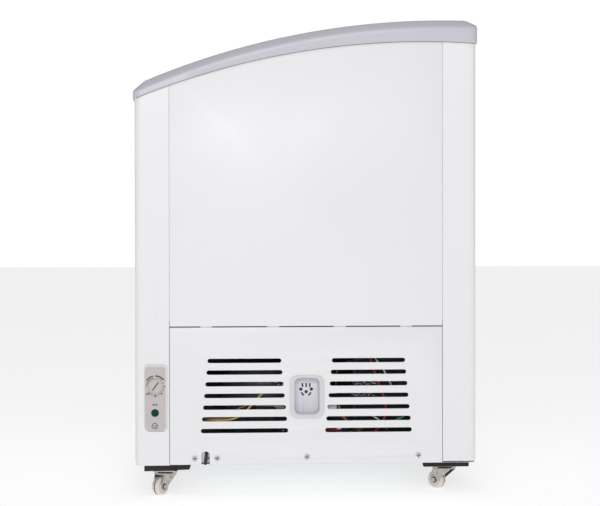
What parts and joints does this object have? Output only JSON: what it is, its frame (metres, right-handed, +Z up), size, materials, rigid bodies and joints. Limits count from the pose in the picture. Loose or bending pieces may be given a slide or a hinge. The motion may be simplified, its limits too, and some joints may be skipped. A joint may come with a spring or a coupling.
{
  "type": "chest freezer",
  "caption": "Curved-top display chest freezer with sliding curved glass lids, slotted machine cover and swivel casters.",
  "frame": {"origin": "on the floor, under the middle of the plan", "axes": "+X to the machine end, along the length; -Y to the low customer side; +Y to the high back; +Z up"},
  "size_m": [1.05, 0.63, 0.8712],
  "materials": {
    "panel_white": "smooth white powder coat, satin",
    "liner_white": "stucco-embossed, painted white",
    "foam": "rigid polyurethane foam, foamed in place",
    "galvanised": "galvanised sheet with spangle",
    "trim_grey": "moulded grey plastic, satin",
    "lid_trim": "moulded grey plastic, satin",
    "glass": "clear tempered glass, slight green",
    "basket_white": "steel wire coated in white plastic",
    "black_paint": "black enamel",
    "black_plastic": "black moulded plastic",
    "motor_grey": "cast motor shell, painted",
    "aluminium": "bare aluminium fin stock",
    "copper": "bare copper",
    "zinc": "zinc-plated stamped steel",
    "control_grey": "warm grey moulded plastic",
    "lamp_green": "dark green translucent lens",
    "dock_grey": "light grey moulded plastic",
    "skid_black": "black moulded plastic",
    "wheel_cream": "cream nylon with a brown groove",
    "wire": "insulated copper leads"
  },
  "bodies": {
    "cabinet": {"front_panel": "panel_white", "rear_panel": "panel_white", "left_end_panel": "panel_white", "upper_end_panel": "panel_white", "machine_cover": "panel_white", "liner": "liner_white", "insulation_foam": "foam", "bottom_plate": "galvanised", "compressor_base": "galvanised", "front_rail": "trim_grey", "rear_rail": "trim_grey", "left_end_rail": "trim_grey", "right_end_rail": "trim_grey", "compressor": "black_paint", "terminal_cover": "black_plastic", "condenser": "aluminium", "fan_shroud": "galvanised", "fan_motor": "motor_grey", "filter_drier": "copper", "evaporator_coil": "aluminium", "discharge_pipe": "copper", "wiring_harness": "wire", "control_plate": "control_grey", "thermostat_body": "dock_grey", "pilot_lamp": "lamp_green", "control_screw": "zinc", "plug_dock": "dock_grey", "cord_boot": "black_plastic", "cover_screw_1": "zinc", "cover_screw_2": "zinc", "cover_screw_3": "zinc", "cover_screw_4": "zinc", "front_skid": "skid_black", "rear_skid": "skid_black", "front_right_caster_plate": "zinc", "rear_right_caster_plate": "zinc", "front_left_caster_plate": "zinc", "rear_left_caster_plate": "zinc"},
    "lower_lid": {"lower_lid_glass": "glass", "lower_lid_outer_trim": "lid_trim", "lower_lid_inner_trim": "lid_trim"},
    "upper_lid": {"upper_lid_glass": "glass", "upper_lid_outer_trim": "lid_trim", "upper_lid_inner_trim": "lid_trim"},
    "left_basket": {"left_basket": "basket_white"},
    "right_basket": {"right_basket": "basket_white"},
    "fan": {"fan_blade": "aluminium"},
    "dial": {"thermostat_dial": "control_grey"},
    "front_right_swivel": {"front_right_caster_fork": "zinc", "front_right_caster_axle": "zinc"},
    "front_right_wheel": {"front_right_caster_wheel": "wheel_cream"},
    "rear_right_swivel": {"rear_right_caster_fork": "zinc", "rear_right_caster_axle": "zinc"},
    "rear_right_wheel": {"rear_right_caster_wheel": "wheel_cream"},
    "front_left_swivel": {"front_left_caster_fork": "zinc", "front_left_caster_axle": "zinc"},
    "front_left_wheel": {"front_left_caster_wheel": "wheel_cream"},
    "rear_left_swivel": {"rear_left_caster_fork": "zinc", "rear_left_caster_axle": "zinc"},
    "rear_left_wheel": {"rear_left_caster_wheel": "wheel_cream"}
  },
  "joints": [
    {"name": "lower_lid_slide", "type": "slide", "parent": "cabinet", "child": "lower_lid", "axis": [1, 0, 0], "range_m": [0, 0.438]},
    {"name": "upper_lid_slide", "type": "slide", "parent": "cabinet", "child": "upper_lid", "axis": [-1, 0, 0], "range_m": [0, 0.438]},
    {"name": "left_basket_slide", "type": "slide", "parent": "cabinet", "child": "left_basket", "axis": [1, 0, 0], "range_m": [0, 0.195]},
    {"name": "right_basket_slide", "type": "slide", "parent": "cabinet", "child": "right_basket", "axis": [-1, 0, 0], "range_m": [0, 0.195]},
    {"name": "fan_spin", "type": "hinge", "parent": "cabinet", "child": "fan", "pos_m": [0.41, 0.185, 0.175], "axis": [1, 0, 0], "continuous": true},
    {"name": "dial_turn", "type": "hinge", "parent": "cabinet", "child": "dial", "pos_m": [0.52, -0.2754, 0.2022], "axis": [1, 0, 0], "range_deg": [-130, 130]},
    {"name": "front_right_caster_swivel", "type": "hinge", "parent": "cabinet", "child": "front_right_swivel", "pos_m": [0.482, -0.258, 0.04], "axis": [0, 0, 1], "continuous": true},
    {"name": "front_right_wheel_roll", "type": "hinge", "parent": "front_right_swivel", "child": "front_right_wheel", "pos_m": [0.49349, -0.26764, 0.017], "axis": [0.6428, 0.766, 0], "continuous": true},
    {"name": "rear_right_caster_swivel", "type": "hinge", "parent": "cabinet", "child": "rear_right_swivel", "pos_m": [0.45, 0.262, 0.04], "axis": [0, 0, 1], "continuous": true},
    {"name": "rear_right_wheel_roll", "type": "hinge", "parent": "rear_right_swivel", "child": "rear_right_wheel", "pos_m": [0.44036, 0.25051, 0.017], "axis": [0.766, -0.6428, 0], "continuous": true},
    {"name": "front_left_caster_swivel", "type": "hinge", "parent": "cabinet", "child": "front_left_swivel", "pos_m": [-0.482, -0.258, 0.04], "axis": [0, 0, 1], "continuous": true},
    {"name": "front_left_wheel_roll", "type": "hinge", "parent": "front_left_swivel", "child": "front_left_wheel", "pos_m": [-0.4956, -0.25166, 0.017], "axis": [-0.4226, -0.9063, 0], "continuous": true},
    {"name": "rear_left_caster_swivel", "type": "hinge", "parent": "cabinet", "child": "rear_left_swivel", "pos_m": [-0.45, 0.262, 0.04], "axis": [0, 0, 1], "continuous": true},
    {"name": "rear_left_wheel_roll", "type": "hinge", "parent": "rear_left_swivel", "child": "rear_left_wheel", "pos_m": [-0.4364, 0.26834, 0.017], "axis": [-0.4226, 0.9063, 0], "continuous": true}
  ]
}
